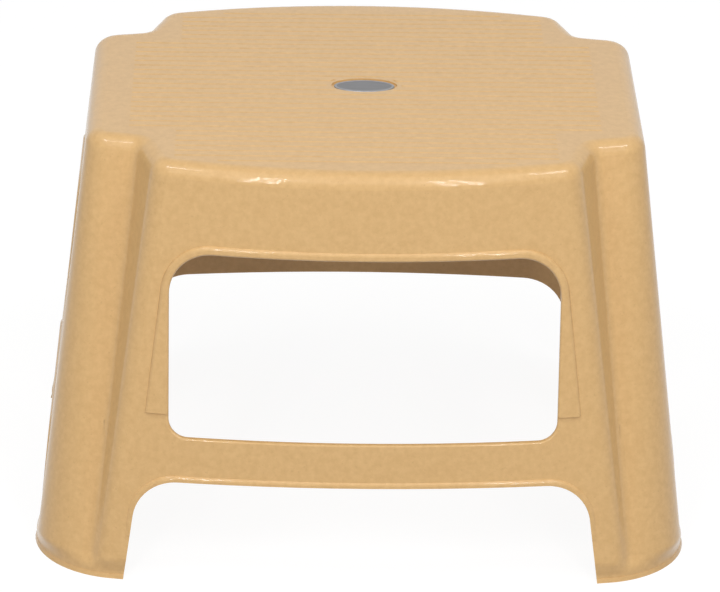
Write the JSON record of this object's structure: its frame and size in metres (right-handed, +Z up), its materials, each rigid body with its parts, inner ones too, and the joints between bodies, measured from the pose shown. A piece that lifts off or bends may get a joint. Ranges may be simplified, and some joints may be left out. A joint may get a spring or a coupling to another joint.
{
  "type": "plastic stool",
  "caption": "Low moulded plastic stool with splayed hollow legs, windowed panels, a ridged seat and a plain oval badge.",
  "frame": {"origin": "on the floor, in the middle of the four feet", "axes": "+Z up, +X along the long side of the seat, +Y from the front panel to the rear panel"},
  "size_m": [0.3664, 0.2978, 0.2403],
  "materials": {
    "body_plastic": "glossy moulded polypropylene, beige with a fine speckle",
    "adhesive": "matte white acrylic foam tape",
    "badge_metal": "satin metallised plate"
  },
  "bodies": {
    "root": {"stool_body": "body_plastic", "badge_adhesive": "adhesive", "badge_plate": "badge_metal"}
  },
  "joints": []
}
